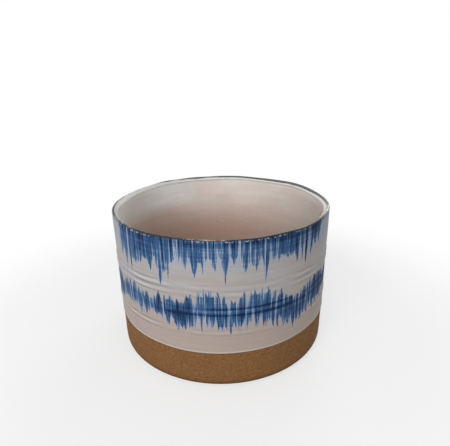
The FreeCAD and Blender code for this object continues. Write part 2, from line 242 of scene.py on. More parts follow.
def place_property(name, description, default):
    return bpy.props.FloatVectorProperty(
        name=name, description=description, default=default, subtype="TRANSLATION")


def colour_property(name, description, *rgb):
    return bpy.props.FloatVectorProperty(
        name=name, description=description, default=linear(*rgb), subtype="COLOR", min=0, max=1)


class CachepotSizes(bpy.types.PropertyGroup):
    rim_diameter: length_property("Rim diameter", "Across the glaze at the lip", 0.178)
    base_diameter: length_property("Base diameter", "Across the bare clay at the foot", 0.1762)
    wall_thickness: length_property("Wall", "Through the clay and both glazes", 0.005)
    crest_radius: length_property("Crest radius", "Round of the lip's outer edge", 0.0012)
    coat: length_property("Glaze coat", "Thickness of a coat of glaze", 0.0004)
    tuck: length_property("Tuck", "How far a coat's hidden back reaches into the clay", 0.00006)
    floor_round: length_property("Floor round", "Radius between inside wall and floor", 0.008)
    foot_round: length_property("Foot round", "Radius of the foot's outer edge", 0.003)
    foot_ring: length_property("Foot ring", "Width of the ring that stands on the pads", 0.018)
    foot_recess: length_property("Recess", "Depth of the hollow under the foot", 0.002)
    ring_rise: length_property("Ring rise", "Height of a raised throwing ring", 0.00045)
    ring_width: length_property("Ring width", "Width of a raised throwing ring", 0.0042)
    glaze_bead: length_property("Glaze bead", "Swelling where the glaze ends", 0.00015)
    hand_wobble: length_property("Hand wobble", "Slow unevenness of a thrown wall", 0.0012)
    clay_grain: length_property("Clay grain", "Roughness of the bare clay", 0.00016)
    pad_fuzz: length_property("Pad fuzz", "Unevenness of the felt", 0.0003)
    columns: bpy.props.IntProperty(
        name="Columns", description="Facets round the pot", default=960, min=120)


class CachepotColours(bpy.types.PropertyGroup):
    # Set far greyer than the lip glaze, which is likely the same white: painted shade on the outer
    # wall
    white: colour_property("White glaze", "The outer glaze, as grey as photographed", 157, 156, 158)
    white_warm: colour_property("Warm patches", "Warm places in it", 162, 145, 138)
    # Also the painted highlight on the throwing rings
    lip_white: colour_property("Lip glaze", "The glaze on the bevel", 232, 232, 228)
    liner: colour_property("Liner glaze", "The glaze inside", 230, 223, 217)
    # Warmer, darker glaze deep inside: partly the glaze, partly painted shade; also its warm
    # patches
    liner_warm_and_shade: colour_property("Warm liner", "Deep places inside", 196, 167, 154)
    # Colour of the painted light on the inside wall
    liner_cool: colour_property("Cool liner", "Cool, pale places inside", 244, 248, 246)
    # Colour of the painted shade on the inside wall
    liner_dull: colour_property("Dull liner", "Dull places inside", 182, 178, 172)
    pale_ink: colour_property("Pale ink", "Washed cobalt", 126, 145, 166)
    middle_ink: colour_property("Middle ink", "Cobalt at its usual depth", 44, 79, 119)
    dark_ink: colour_property("Dark ink", "Pooled cobalt", 10, 30, 62)
    # Also the colour of painted shade in the ring grooves, on the bevel and at the foot's edge
    slate: colour_property("Crest line", "The line on the crest", 44, 50, 50)
    tan: colour_property("Glaze break", "Where a coat thins over clay", 146, 134, 114)
    clay: colour_property("Clay", "Bare fired stoneware", 124, 86, 48)
    # Also painted shade under the glaze line and towards the foot
    clay_dark: colour_property("Dark grain", "Iron in the clay", 92, 62, 32)
    clay_pale: colour_property("Pale grain", "Sand in the clay", 152, 114, 78)
    felt: colour_property("Felt", "The pads", 62, 60, 58)
    felt_pale: colour_property("Pale fibre", "Stray fibres", 104, 101, 97)


class CachepotStage(bpy.types.PropertyGroup):
    floor_colour: colour_property("Floor", "Plain pale floor", 238, 238, 238)
    floor_radius: length_property("Floor radius", "From the pot's axis to the floor's edge", 4)
    floor_gap: length_property("Floor gap", "Between the pads and the floor", 0.0002)
    floor_bleach: number_property(
        "Floor bleach", "How far the floor by the pot is seen as plain white", 0.62, min=0, max=1)
    key_power: number_property(
        "Key light", "Large soft lamp, in front, left and above", 7.8, unit="POWER")
    key_place: place_property("Key place", "Where the lamp hangs", (-0.40, -0.88, 0.50))
    fill_power: number_property("Fill light", "Soft lamp behind the pot", 4.0, unit="POWER")
    fill_place: place_property("Fill place", "Where that lamp hangs", (0.42, 0.9, 0.6))
    lamp_size: length_property("Lamp size", "Across each lamp", 0.8)
    world_strength: number_property("Room light", "Even light from all round", 0.44, min=0)
    camera_distance: length_property("Camera distance", "From the pot's axis", 0.3078)
    camera_height: length_property("Camera height", "Above the foot", 0.2090)
    camera_pitch: number_property("Camera pitch", "Looking down", 0.355884, unit="ROTATION")
    camera_yaw: number_property("Camera yaw", "Looking right", 0.010622, unit="ROTATION")
    camera_roll: number_property(
        "Camera roll", "Tilt of the picture", -0.016560, unit="ROTATION")
    camera_lens: number_property(
        "Lens", "Focal length for a picture as wide as the sensor", 30.4, unit="CAMERA")


# The pot's profile, as (radius, height) points in metres with the height from the foot's underside

# How many raised rings stand together, and the share of the height that their middle has
RING_GROUPS = ((1, 0.402), (2, 0.684))
RING_GAP = 0.0009
BEVEL_DEGREES = 45
RIM_LINE_DEGREES = (50, 118)
NORMAL_DEGREES = 90 + BEVEL_DEGREES
POT_HEIGHT = CREST_Z - FOOT_Z
GLAZE_LINE = GLAZE_LINE_Z - FOOT_Z
GLAZE_LINE_SHARE = GLAZE_LINE / POT_HEIGHT
FINE_LINE_COUNT = 46

# The distance between neighbouring points of a profile, by what they draw
WALL_ROW = 0.0014
RING_ROW = 0.00072
CLAY_ROW = 0.001
HIDDEN_ROW = 0.004
RECESS_ROW = 0.006
FOOT_ROW = 0.0015
LINER_ROW = 0.0022
FLOOR_ROW = 0.0012
BEVEL_ROWS = 8

# How much stronger the finger lines are inside than outside
LINER_LINES = 1.6
FLOOR_LINES = 1.5

MERGE_DISTANCE = 0.000002
SMOOTH_DEGREES = 38


def ring_heights(sizes):
    """Heights of the raised throwing rings."""
    pitch = sizes.ring_width + RING_GAP
    return [share * POT_HEIGHT + (number - (count - 1) / 2) * pitch
            for count, share in RING_GROUPS for number in range(count)]


def fine_lines(seed):
    """Slight ridges and grooves from the thrower's fingers: height, rise and half width."""
    draw = random.Random(seed)
    return [(draw.uniform(0.03, 0.98) * POT_HEIGHT, draw.uniform(-0.00006, 0.00007),
             draw.uniform(0.0009, 0.0022)) for _ in range(FINE_LINE_COUNT)]


OUTSIDE_LINES = fine_lines(11)
INSIDE_LINES = fine_lines(29)


def bump(height, middle, half_width):
    """1 at a ridge's middle, falling smoothly to 0 at half_width from it."""
    share = (height - middle) / half_width
    return (1 - share * share) ** 2 if abs(share) < 1 else 0.0


def relief(height, lines):
    """How far the finger lines stand out at a height."""
    return sum(rise * bump(height, middle, half) for middle, rise, half in lines)


def ring_relief(height, sizes):
    """How far the raised throwing rings stand out at a height."""
    return sum(sizes.ring_rise * bump(height, middle, sizes.ring_width / 2)
               for middle in ring_heights(sizes))


def clay_radius(height, sizes):
    """The plain outside of the clay, slightly flared."""
    straight = POT_HEIGHT - sizes.crest_radius
    flare = sizes.rim_diameter / 2 - sizes.coat - sizes.base_diameter / 2
    return sizes.base_diameter / 2 + flare * height / straight


def inside_radius(height, sizes):
    """The plain inside of the liner glaze."""
    return clay_radius(height, sizes) + sizes.coat - sizes.wall_thickness


def crest_centre(sizes):
    return (sizes.rim_diameter / 2 - sizes.crest_radius, POT_HEIGHT - sizes.crest_radius)


def corner_centre(sizes):
    """Centre of the round between the bevel and the inside wall."""
    run = sizes.wall_thickness - 2 * sizes.crest_radius
    radius, height = crest_centre(sizes)
    return (radius - run, height - run * math.tan(math.radians(BEVEL_DEGREES)))


def arc_point(centre, radius, degrees):
    """A point on an arc, 0 degrees outwards and 90 up."""
    turn = math.radians(degrees)
    return (centre[0] + radius * math.cos(turn), centre[1] + radius * math.sin(turn))


def arc(centre, radius, first, last, count):
    """Points on an arc, both ends included."""
    return [arc_point(centre, radius, first + (last - first) * n / count)
            for n in range(count + 1)]


def rows(start, end, spacing):
    """Evenly spaced numbers from start to end, both included."""
    count = max(1, round(abs(end - start) / spacing))
    return [start + (end - start) * n / count for n in range(count + 1)]


def wall_rows(start, end, sizes):
    """Heights up the glazed wall, closer together on the rings."""
    stops = [start]
    for middle in sorted(ring_heights(sizes)):
        stops += [middle - 0.6 * sizes.ring_width, middle + 0.6 * sizes.ring_width]
    stops.append(end)
    heights = []
    for number, (low, high) in enumerate(zip(stops, stops[1:])):
        if high > low:
            heights += rows(low, high, RING_ROW if number % 2 else WALL_ROW)[:-1]
    return heights + [end]


def pick(piece):
    """Selects and activates one piece alone."""
    bpy.ops.object.select_all(action="DESELECT")
    piece.select_set(True)
    bpy.context.view_layer.objects.active = piece


def apply_modifier(piece, name, kind, **settings):
    modifier = piece.modifiers.new(name, kind)
    for setting, value in settings.items():
        setattr(modifier, setting, value)
    bpy.ops.object.modifier_apply(modifier=modifier.name)


def spin_outline(name, outline, sizes, columns):
    """Draws the outline vertex by vertex and turns it once about the pot's axis."""
    points = [Vector((radius, 0, FOOT_Z + height)) for radius, height in outline]
    bpy.ops.object.select_all(action="DESELECT")
    bpy.ops.mesh.primitive_plane_add(size=sizes.coat)
    piece = bpy.context.object
    piece.name = name
    piece.data.name = name
    bpy.ops.object.mode_set(mode="EDIT")
    bpy.ops.mesh.select_mode(type="VERT")
    bpy.ops.mesh.select_all(action="SELECT")
    bpy.ops.mesh.merge(type="CENTER")
    bpy.ops.mesh.select_all(action="SELECT")
    bpy.ops.transform.translate(value=points[0])
    for here, there in zip(points, points[1:]):
        bpy.ops.mesh.extrude_vertices_move(TRANSFORM_OT_translate={"value": there - here})
    bpy.ops.object.mode_set(mode="OBJECT")
    bpy.ops.object.transform_apply(location=True, rotation=True, scale=True)
    apply_modifier(piece, "turn", "SCREW", axis="Z", angle=2 * math.pi, steps=columns,
                   render_steps=columns)
    bpy.ops.object.mode_set(mode="EDIT")
    bpy.ops.mesh.select_all(action="SELECT")
    bpy.ops.mesh.remove_doubles(threshold=MERGE_DISTANCE)
    bpy.ops.mesh.select_all(action="SELECT")
    bpy.ops.mesh.normals_make_consistent(inside=False)
    bpy.ops.object.mode_set(mode="OBJECT")
    return piece


# What changes round the pot and up it, kept with each vertex

# The turns at which the strokes seen in front are used again
RIM_CENTRES = (0, 150)
MIDDLE_CENTRES = (0, 120, 240)
RIM_SEED = 3
MIDDLE_SEED = 5

# Brush streaks: the turn from one to the next in degrees, how many each way, and their strength
STREAK_TURN = 0.62
STREAKS_EACH_WAY = 291
STREAK_STRENGTH = (0.66, 1.16)

# Cloud textures: name, size in metres, depth, kind and the way that they move the surface
HAND_CLOUD = ("hand", 0.055, 1, "COLOR", "RGB_TO_XYZ")
CLAY_CLOUD = ("clay grain", 0.0011, 2, "GRAYSCALE", "NORMAL")
FELT_CLOUD = ("felt", 0.0012, 2, "GRAYSCALE", "NORMAL")

# The share of the height from which the slow unevenness has its full strength
HAND_FULL_FROM = 0.25


def turn_of(vertex):
    """Degrees round the pot, 0 at the front and positive to the right."""
    return math.degrees(math.atan2(vertex.co.x, -vertex.co.y))


def height_of(vertex):
    """Share of the pot's height."""
    return (vertex.co.z - FOOT_Z) / POT_HEIGHT


def between(points, turn):
    """Reads a list of (turn, value) points at a turn, straight from point to point."""
    if turn <= points[0][0]:
        return points[0][1]
    for (low, first), (high, second) in zip(points, points[1:]):
        if turn <= high:
            return first + (second - first) * (turn - low) / (high - low)
    return points[-1][1]


def nearest_turn(turn, centres):
    """The turn seen from the nearest of some centres, between -180 and 180 degrees."""
    offsets = [(turn - centre + 180) % 360 - 180 for centre in centres]
    return min(offsets, key=abs)


def ink_strength(fullness, gaps, centres, seed):
    """How full the brush was at each turn: the pale gaps, and streaks drawn from a seed."""
    draw = random.Random(seed)
    knots = [(number * STREAK_TURN, draw.uniform(*STREAK_STRENGTH))
             for number in range(-STREAKS_EACH_WAY, STREAKS_EACH_WAY + 1)]

    def strength(turn):
        value = between(knots, turn) * between(fullness, turn)
        for middle, half, missing in gaps:
            away = nearest_turn(turn, centres) - middle
            value *= 1 - missing * math.exp(-(away / half) ** 2)
        return value
    return strength


def write_attribute(piece, name, values):
    layer = piece.data.attributes.new(name, "FLOAT", "POINT")
    layer.data.foreach_set("value", values)


def write_height(piece):
    write_attribute(piece, "height_share", [height_of(v) for v in piece.data.vertices])


def values_by_turn(piece, value_at):
    """Each vertex's share of a value that only changes round the pot, found once for each turn."""
    value_at = functools.cache(value_at)
    return [value_at(round(turn_of(vertex), 3)) for vertex in piece.data.vertices]


def write_tables(piece, **tables):
    """Writes each table of turns and values as an attribute."""
    for name, table in tables.items():
        write_attribute(piece, name, values_by_turn(piece, lambda turn: between(table, turn)))


def write_band(piece, ink, fullness, gaps, centres, seed, **edges):
    """Writes the strength of a band's ink and its edges."""
    write_attribute(piece, ink, values_by_turn(piece, ink_strength(fullness, gaps, centres, seed)))
    for name, edge in edges.items():
        write_attribute(piece, name, values_by_turn(
            piece, lambda turn: between(edge, nearest_turn(turn, centres))))


def displace(piece, cloud, strength, weight_of):
    """Moves the surface by a cloud texture, as far as each vertex's weight lets it."""
    name, size, depth, kind, direction = cloud
    texture = bpy.data.textures.new(name, "CLOUDS")
    texture.noise_scale = size
    texture.noise_depth = depth
    texture.cloud_type = kind
    group = piece.vertex_groups.new(name="weight")
    for vertex in piece.data.vertices:
        weight = weight_of(vertex)
        if weight > 0:
            group.add([vertex.index], weight, "REPLACE")
    pick(piece)
    apply_modifier(piece, "displace", "DISPLACE", texture=texture, texture_coords="LOCAL",
                   direction=direction, strength=strength, mid_level=0.5,
                   vertex_group=group.name)
    piece.vertex_groups.clear()


def raise_lip(piece):
    """Lifts and dents the lip by hand, fading out down the wall."""
    sides = (-LIP_RISE_BLUR, 0, LIP_RISE_BLUR)
    rises = values_by_turn(
        piece, lambda turn: sum(between(LIP_RISE, turn + side) for side in sides) / len(sides))
    for vertex, rise in zip(piece.data.vertices, rises):
        share = max(0.0, (height_of(vertex) - LIP_RISE_FROM) / (1 - LIP_RISE_FROM))
        vertex.co.z += rise * share


def throw_by_hand(piece, sizes):
    """The same slow unevenness on every piece of the pot, none at the foot."""
    raise_lip(piece)
    displace(piece, HAND_CLOUD, sizes.hand_wobble,
             lambda vertex: min(1.0, max(0.0, height_of(vertex) / HAND_FULL_FROM)))


def finish_piece(piece, material, nodes):
    pick(piece)
    bpy.ops.object.shade_smooth_by_angle(angle=math.radians(SMOOTH_DEGREES))
    piece.data.materials.clear()
    piece.data.materials.append(material)
    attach(piece, "root")
    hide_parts(*nodes)


# Materials. A node is added to the tree of the sockets that it is given.

WHITE = (1, 1, 1)
BLACK = (0, 0, 0)


def fill(socket, value):
    """Links a socket to another one, or sets it to a number or a colour."""
    if isinstance(value, bpy.types.NodeSocket):
        socket.id_data.links.new(value, socket)
    elif socket.type == "RGBA":
        socket.default_value = (*value[:3], 1)
    else:
        socket.default_value = value


def add(tree, kind, settings=None, **inputs):
    """Adds a node, sets its settings, and sets or links the inputs that are named."""
    node = tree.nodes.new(kind)
    for name, value in (settings or {}).items():
        setattr(node, name, value)
    for name, value in inputs.items():
        fill(node.inputs[name.replace("_", " ")], value)
    return node


def maths(operation, *values, clamp=False):
    tree = next(v.id_data for v in values if isinstance(v, bpy.types.NodeSocket))
    node = add(tree, "ShaderNodeMath", {"operation": operation, "use_clamp": clamp})
    for socket, value in zip(node.inputs, values):
        fill(socket, value)
    return node.outputs[0]


def times(first, second, clamp=False):
    return maths("MULTIPLY", first, second, clamp=clamp)


def plus(first, second, clamp=False):
    return maths("ADD", first, second, clamp=clamp)


def minus(first, second):
    return maths("SUBTRACT", first, second)


def swing(value, size):
    """Noise from 0 to 1 as a swing of that size about 0."""
    return times(minus(value, 0.5), size)


def step(value, low, high, top=1.0):
    """0 where the value is below low, top where it is above high, and smooth between."""
    settings = {"interpolation_type": "SMOOTHSTEP", "clamp": True}
    node = add(value.id_data, "ShaderNodeMapRange", settings, Value=value, From_Min=low,
               From_Max=high, To_Max=top)
    return node.outputs["Result"]


def lay_over(colour, *layers):
    """A colour with others laid over it in turn, each as strongly as its mask says."""
    for mask, tint in layers:
        node = add(mask.id_data, "ShaderNodeMix", {"data_type": "RGBA", "clamp_factor": True})
        for number, value in ((0, mask), (6, colour), (7, tint)):
            fill(node.inputs[number], value)
        colour = node.outputs[2]
    return colour


def attribute(tree, name):
    return add(tree, "ShaderNodeAttribute", {"attribute_name": name}).outputs["Fac"]


def noise(tree, scale, detail, roughness=0.5, level=1, upright=1, distortion=0.0):
    """Noise in the piece's own coordinates, drawn out level or upright by a small share."""
    place = add(tree, "ShaderNodeTexCoord").outputs["Object"]
    mapped = add(tree, "ShaderNodeMapping", Vector=place, Scale=(level, level, upright))
    node = add(tree, "ShaderNodeTexNoise", Vector=mapped.outputs["Vector"], Scale=scale,
               Detail=detail, Roughness=roughness, Distortion=distortion)
    return node.outputs["Fac"]


def new_group(name, inputs, outputs):
    """A shader node group with named sockets, and its input and output nodes."""
    group = bpy.data.node_groups.new(name, "ShaderNodeTree")
    for way, sockets in (("INPUT", inputs), ("OUTPUT", outputs)):
        for socket_name, value in sockets.items():
            coloured = isinstance(value, tuple)
            kind = "NodeSocketColor" if coloured else "NodeSocketFloat"
            socket = group.interface.new_socket(socket_name, in_out=way, socket_type=kind)
            socket.default_value = (*value, 1) if coloured else value
    return group, add(group, "NodeGroupInput").outputs, add(group, "NodeGroupOutput").inputs


def fired_glaze_group():
    """Satin glaze: mottled colour, throwing lines, specks and grain, used by every coat."""
    group, given, result = new_group(
        "Fired glaze",
        {"Colour": WHITE, "Warm colour": WHITE, "Warmth": 0.5, "Line colour": BLACK,
         "Line depth": 0.5, "Speck colour": BLACK, "Speck strength": 0.3},
        {"Colour": WHITE, "Roughness": 0.5, "Height": 0.0})
    patches = noise(group, 34, 3, 0.55, upright=1.6)
    lines = noise(group, 620, 2, 0.6, level=0.035)
    broad_lines = noise(group, 190, 2, 0.5, level=0.06)
    grain = noise(group, 1500, 2, 0.6)
    specks = noise(group, 700, 1, 0.5)
    depth = given["Line depth"]
    shade = plus(step(lines, 0.60, 0.40, 0.16), step(broad_lines, 0.62, 0.36, 0.12))
    colour = lay_over(
        given["Colour"],
        (step(patches, 0.3, 0.74, given["Warmth"]), given["Warm colour"]),
        (times(shade, depth), given["Line colour"]),
        (step(specks, 0.7, 0.76, given["Speck strength"]), given["Speck colour"]))
    fill(result["Colour"], colour)
    fill(result["Roughness"], maths("MULTIPLY_ADD", grain, 0.18, 0.30))
    raised = times(plus(lines, broad_lines), depth)
    fill(result["Height"], maths("MULTIPLY_ADD", grain, 0.12, raised))
    return group


def level_line_group():
    """A soft level line at a share of the height, for grooves and the edges of coats."""
    group, given, result = new_group(
        "Level line", {"Height": 0.5, "Centre": 0.5, "Half width": 0.01}, {"Line": 0.0})
    away = maths("ABSOLUTE", minus(given["Height"], given["Centre"]))
    share = maths("DIVIDE", away, given["Half width"])
    fill(result["Line"], step(share, 1.0, 0.2))
    return group


def upright_strokes_group():
    """Brushed ink between two ragged edges: full in the body, washed out at the tips."""
    group, given, result = new_group(
        "Upright strokes",
        {"Height": 0.5, "Low edge": 0.0, "High edge": 1.0, "Ink": 1.0, "Tip length": 0.06,
         "Bleed": 0.07},
        {"Ink": 0.0})
    hairs = noise(group, 1050, 3, 0.7, upright=0.04)
    strands = noise(group, 520, 3, 0.6, upright=0.05)
    levels = noise(group, 560, 2, 0.6, level=0.03)
    missed = noise(group, 800, 1, upright=0.025)
    fray = swing(hairs, 0.085)
    nearest = maths("MINIMUM", plus(minus(given["Height"], given["Low edge"]), fray),
                    plus(minus(given["High edge"], given["Height"]), fray))
    depth = maths("DIVIDE", nearest, given["Tip length"], clamp=True)
    tone = maths("MULTIPLY_ADD", depth, 0.36, 0.46)
    for value, size in ((strands, 1.5), (hairs, 1.8), (levels, 0.7)):
        tone = plus(tone, swing(value, size))
    tone = times(tone, minus(1.0, step(missed, 0.58, 0.7, 0.6)))
    tone = times(tone, given["Ink"], clamp=True)
    halo = step(nearest, -0.03, 0.0, given["Bleed"])
    inked = times(tone, step(nearest, -0.003, 0.008))
    fill(result["Ink"], maths("MAXIMUM", inked, halo))
    return group


GROUP_MAKERS = {
    "Fired glaze": fired_glaze_group,
    "Level line": level_line_group,
    "Upright strokes": upright_strokes_group,
}


def use_group(tree, name, **inputs):
    """Places a shared node group, which is built when the first material asks for it."""
    group = bpy.data.node_groups.get(name) or GROUP_MAKERS[name]()
    return add(tree, "ShaderNodeGroup", {"node_tree": group}, **inputs).outputs


def level_line(height, centre, half_width):
    return use_group(height.id_data, "Level line", Height=height, Centre=centre,
                     Half_width=half_width)["Line"]


def new_material(name, **constants):
    """A material with a Principled shader whose even values are set on its own sockets."""
    material = bpy.data.materials.new(name)
    material.use_nodes = True
    shader = material.node_tree.nodes["Principled BSDF"]
    for socket, value in constants.items():
        fill(shader.inputs[socket.replace("_", " ")], value)
    return material, material.node_tree, shader


def finish_shader(shader, height, distance, **changing):
    """Links what changes over the surface, with the height as a bump of that distance."""
    for socket, value in changing.items():
        fill(shader.inputs[socket.replace("_", " ")], value)
    bumped = add(shader.id_data, "ShaderNodeBump", Height=height, Distance=distance, Strength=1.0)
    fill(shader.inputs["Normal"], bumped.outputs["Normal"])


# Shares of the pot's height: how far level lines wander, half widths and places of lines
LINE_WANDER = 0.01
RING_EDGE_HALF = 0.0058
RING_RIDGE_HALF = 0.012
UNDER_CREST = (0.990, 0.006)
BEAD_LINE = (GLAZE_LINE_SHARE + 0.008, 0.009)
CORNER_SHARE = 0.968

# From how much ink to how much each depth of cobalt comes in
INK_STEPS = ((0.0, 0.28, "pale_ink"), (0.16, 0.48, "middle_ink"), (0.52, 1.0, "dark_ink"))


def outer_glaze_material(colours, ring_edges, ring_ridges):
    material, tree, shader = new_material("cobalt_on_white_glaze", Specular_IOR_Level=0.14)
    height = attribute(tree, "height_share")
    wander = noise(tree, 60, 2, level=0.4)
    lifted = maths("MULTIPLY_ADD", wander, LINE_WANDER, minus(height, LINE_WANDER / 2))
    # The outer white already holds painted shade
    ground = lay_over(colours.white, (step(height, 0.72, 0.34, 0.8), colours.white_warm))
    base = use_group(tree, "Fired glaze", Colour=ground, Warm_colour=colours.white_warm,
                     Warmth=0.4, Line_colour=colours.tan, Line_depth=1.2,
                     Speck_colour=colours.tan, Speck_strength=0.5)
    # Painted shade at the edges of the throwing rings and painted highlight on their middles
    broken = step(noise(tree, 45, 2, upright=0.2), 0.36, 0.6)
    shade = times(broken, attribute(tree, "ring_shade"))
    light = times(shade, 0.5)
    glazed = lay_over(
        base["Colour"],
        *((times(level_line(lifted, centre, RING_EDGE_HALF), shade), colours.slate)
          for centre in ring_edges),
        *((times(level_line(lifted, centre, RING_RIDGE_HALF), light), colours.lip_white)
          for centre in ring_ridges))
    rim = use_group(tree, "Upright strokes", Height=height, Low_edge=attribute(tree, "rim_edge"),
                    High_edge=2.0, Ink=attribute(tree, "rim_ink"), Tip_length=0.09)["Ink"]
    pooled = step(height, 0.945, 0.985, 0.45)
    rim = times(rim, plus(pooled, 1.0), clamp=True)
    middle = use_group(
        tree, "Upright strokes", Height=height, Low_edge=attribute(tree, "middle_bottom"),
        High_edge=attribute(tree, "middle_top"), Ink=attribute(tree, "middle_ink"),
        Tip_length=0.06)["Ink"]
    patchy = plus(step(noise(tree, 120, 2, upright=0.5), 0.24, 0.52, 0.6), 0.4)
    within = plus(step(middle, 0.0, 0.7, 0.5), 0.08)
    grooves = plus(*(times(level_line(lifted, centre, half_width), attribute(tree, name))
                     for centre, half_width, name in GROOVE_INK_LINES))
    middle = plus(middle, times(times(grooves, within), patchy), clamp=True)
    wash = times(noise(tree, 420, 2, upright=0.06), step(height, 0.77, 0.9, 0.26))
    ink = maths("MAXIMUM", maths("MAXIMUM", rim, middle), wash)
    flecks = times(step(noise(tree, 620, 2, 0.6), 0.5, 0.62, 0.5), broken)
    crest = times(step(height, 0.990, 0.996, 0.8),
                  step(attribute(tree, "crest_ink"), 0.45, 0.85))
    colour = lay_over(
        glazed,
        *((step(ink, low, high), getattr(colours, depth)) for low, high, depth in INK_STEPS),
        (times(flecks, level_line(height, *UNDER_CREST)), colours.lip_white),
        (crest, colours.slate),
        (times(level_line(height, *BEAD_LINE), 0.2), colours.liner))
    finish_shader(shader, base["Height"], 0.00012, Base_Color=colour,
                  Roughness=maths("MULTIPLY_ADD", ink, 0.25, base["Roughness"]))
    return material


def crest_line_material(colours):
    material, tree, shader = new_material("crest_line_glaze", Specular_IOR_Level=0.2)
    base = use_group(tree, "Fired glaze", Colour=colours.lip_white, Warm_colour=colours.liner,
                     Warmth=0.3, Line_colour=colours.tan, Line_depth=0.2,
                     Speck_colour=colours.tan, Speck_strength=0.2)
    cover = plus(attribute(tree, "crest_ink"), noise(tree, 260, 3, 0.7))
    colour = lay_over(base["Colour"], (step(cover, 0.75, 1.0), colours.tan),
                      (step(cover, 0.92, 1.16), colours.slate))
    finish_shader(shader, base["Height"], 0.00008, Base_Color=colour,
                  Roughness=base["Roughness"])
    return material


def lip_glaze_material(colours):
    material, tree, shader = new_material("lip_glaze")
    base = use_group(tree, "Fired glaze", Colour=colours.lip_white, Warm_colour=colours.liner,
                     Warmth=0.35, Line_colour=colours.tan, Line_depth=0.3,
                     Speck_colour=colours.slate, Speck_strength=0.35)
    down = attribute(tree, "bevel_share")
    wander = noise(tree, 120, 2, upright=0.3)
    reach = maths("MULTIPLY_ADD", wander, 0.2, attribute(tree, "bevel_ink"))
    colour = lay_over(
        base["Colour"],
        # Painted shade on the bevel, as strong as the lip_shade table says
        (attribute(tree, "lip_shade"), colours.slate),
        (step(maths("MULTIPLY_ADD", wander, 0.16, down), 0.9, 1.0, 0.5), colours.slate),
        (step(minus(reach, down), 0.02, 0.16, 0.9), colours.slate))
    finish_shader(shader, base["Height"], 0.0001, Base_Color=colour, Roughness=base["Roughness"])
    return material


def liner_glaze_material(colours):
    material, tree, shader = new_material("liner_glaze")
    height = attribute(tree, "height_share")
    # Painted shade on one side of the inside wall
    dull = times(attribute(tree, "liner_dull"), step(height, 1.0, 0.9))
    # Painted light, cooler and paler, on the other side below the lip
    cool = times(attribute(tree, "liner_cool"), step(height, 0.7, 0.86))
    # Towards the floor: warmer glaze and painted shade deep in the pot
    ground = lay_over(colours.liner, (step(height, 0.93, 0.44), colours.liner_warm_and_shade),
                      (dull, colours.liner_dull), (cool, colours.liner_cool))
    base = use_group(tree, "Fired glaze", Colour=ground, Warm_colour=colours.liner_warm_and_shade,
                     Warmth=0.25, Line_colour=colours.tan, Line_depth=0.42,
                     Speck_colour=colours.lip_white, Speck_strength=0.8)
    edge = step(height, CORNER_SHARE - 0.006, CORNER_SHARE, 0.3)
    finish_shader(shader, base["Height"], 0.00012, Roughness=base["Roughness"],
                  Base_Color=lay_over(base["Colour"], (edge, colours.slate)))
    return material


def bare_clay_material(colours):
    material, tree, shader = new_material("bare_stoneware", Specular_IOR_Level=0.22)
    height = attribute(tree, "height_share")
    grain = noise(tree, 1000, 3, 0.7)
    coarse = noise(tree, 460, 2, 0.6)
    patches = noise(tree, 30, 2)
    turning = noise(tree, 420, 2, level=0.04)
    # Darker clay just under the glaze line: painted shade below the proud glaze, partly fired clay
    burnt_and_shaded = step(height, GLAZE_LINE_SHARE - 0.012, GLAZE_LINE_SHARE, 0.75)
    # Darker clay towards the bottom and a dark line at the foot's edge: painted shade and shadow
    foot_shade = step(height, 0.055, 0.02, 0.8)
    contact_shadow = step(height, 0.026, 0.012, 0.85)
    colour = lay_over(
        colours.clay,
        (step(grain, 0.56, 0.38, 0.9), colours.clay_dark),
        (step(coarse, 0.44, 0.3, 0.6), colours.clay_dark),
        (step(coarse, 0.54, 0.74, 0.4), colours.clay_pale),
        (times(patches, 0.35), colours.clay),
        (burnt_and_shaded, colours.clay_dark), (foot_shade, colours.clay_dark), (contact_shadow, colours.slate))
    finish_shader(shader, plus(grain, plus(coarse, turning)), 0.00022, Base_Color=colour,
                  Roughness=maths("MULTIPLY_ADD", grain, 0.2, 0.72))
    return material


def felt_material(colours):
    material, tree, shader = new_material("pad_felt", Roughness=0.95)
    fibre = noise(tree, 2200, 3, 0.7, distortion=1.5)
    colour = lay_over(colours.felt, (step(fibre, 0.5, 0.72), colours.felt_pale))
    finish_shader(shader, fibre, 0.0003, Base_Color=colour)
    return material


